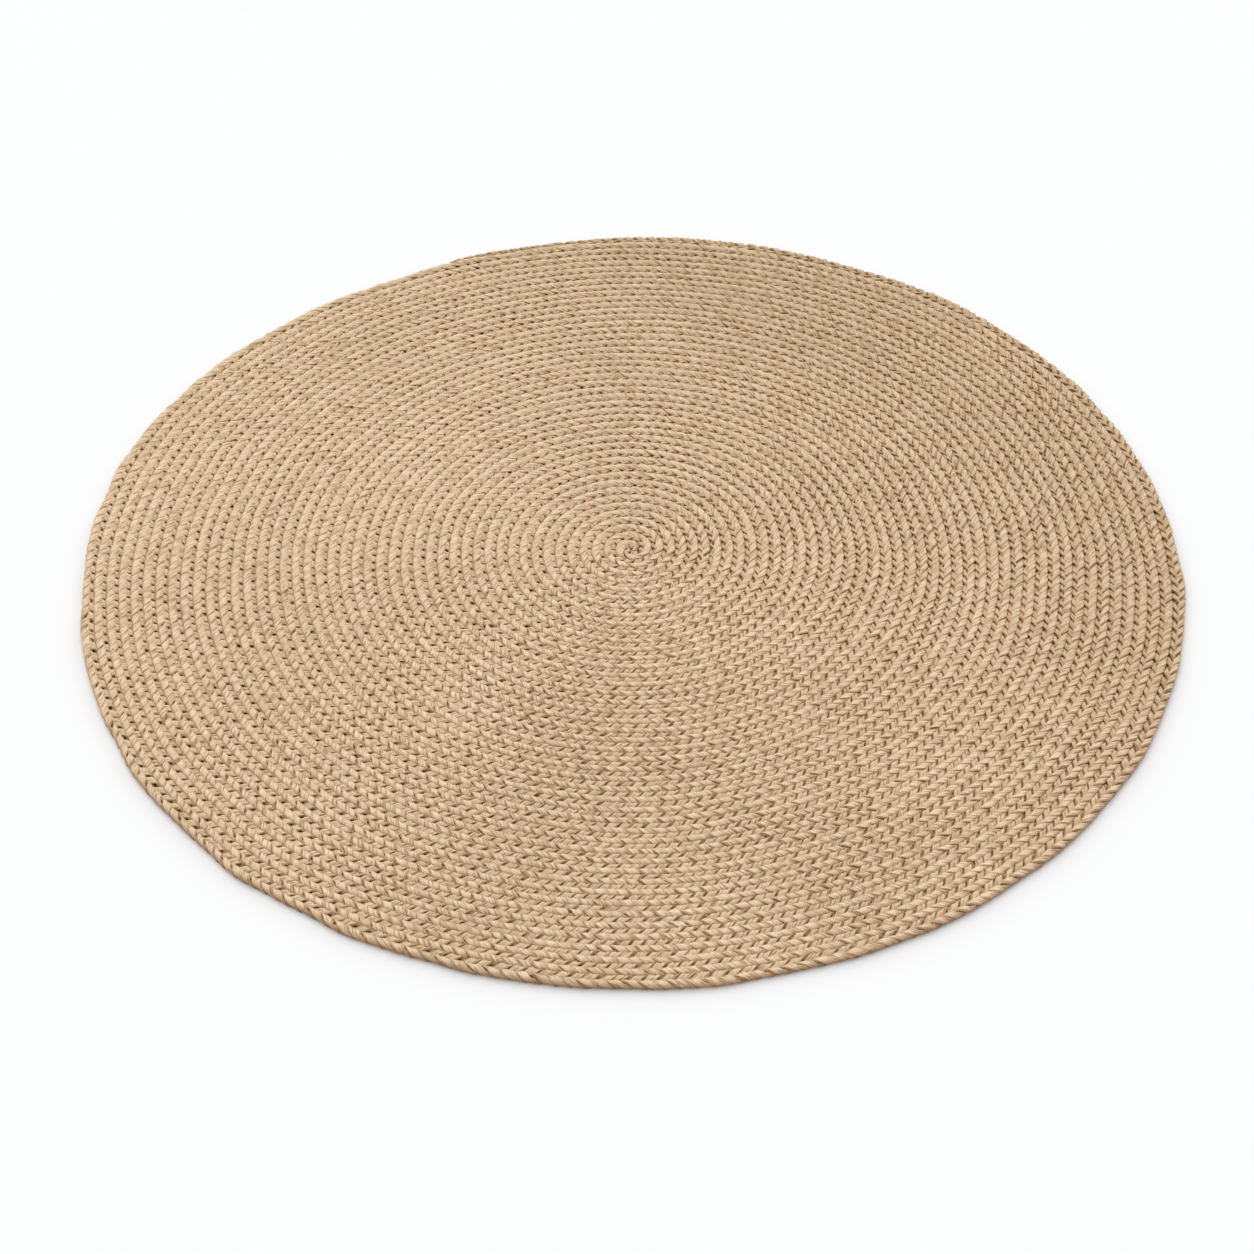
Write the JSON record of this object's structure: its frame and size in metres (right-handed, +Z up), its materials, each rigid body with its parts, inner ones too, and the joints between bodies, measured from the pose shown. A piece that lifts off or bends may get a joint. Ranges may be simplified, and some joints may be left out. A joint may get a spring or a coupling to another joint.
{
  "type": "area rug",
  "caption": "Round flat area rug: a plaited natural-fibre braid coiled outward from its centre and laced edge to edge into a flexible disc.",
  "frame": {"origin": "under the middle of the rug's outline, on the plane of its underside, which is the floor", "axes": "+Z up out of the walking surface; -Y towards the viewer of the rug; the braid starts and its last full turn ends on the ray from the spiral's centre along +Y, and it winds outward anticlockwise seen from above"},
  "size_m": [1.501, 1.5004, 0.009],
  "materials": {
    "braid": "matte undyed straw-coloured plant fibre",
    "lacing": "matte twisted twine"
  },
  "bodies": {
    "root": {"braid_start": "braid", "braid_turn_01": "braid", "braid_turn_02": "braid", "braid_turn_03": "braid", "braid_turn_04": "braid", "braid_turn_05": "braid", "braid_turn_06": "braid", "braid_turn_07": "braid", "braid_turn_08": "braid", "braid_turn_09": "braid", "braid_turn_10": "braid", "braid_turn_11": "braid", "braid_turn_12": "braid", "braid_turn_13": "braid", "braid_turn_14": "braid", "braid_turn_15": "braid", "braid_turn_16": "braid", "braid_turn_17": "braid", "braid_turn_18": "braid", "braid_turn_19": "braid", "braid_turn_20": "braid", "braid_turn_21": "braid", "braid_turn_22": "braid", "braid_turn_23": "braid", "braid_turn_24": "braid", "braid_turn_25": "braid", "braid_turn_26": "braid", "braid_turn_27": "braid", "braid_turn_28": "braid", "braid_turn_29": "braid", "braid_turn_30": "braid", "braid_turn_31": "braid", "braid_turn_32": "braid", "braid_turn_33": "braid", "braid_turn_34": "braid", "braid_turn_35": "braid", "braid_turn_36": "braid", "braid_turn_37": "braid", "braid_turn_38": "braid", "braid_turn_39": "braid", "braid_turn_40": "braid", "braid_turn_41": "braid", "braid_turn_42": "braid", "braid_turn_43": "braid", "braid_turn_44": "braid", "braid_turn_45": "braid", "braid_tail": "braid", "lacing_thread": "lacing"}
  },
  "joints": []
}
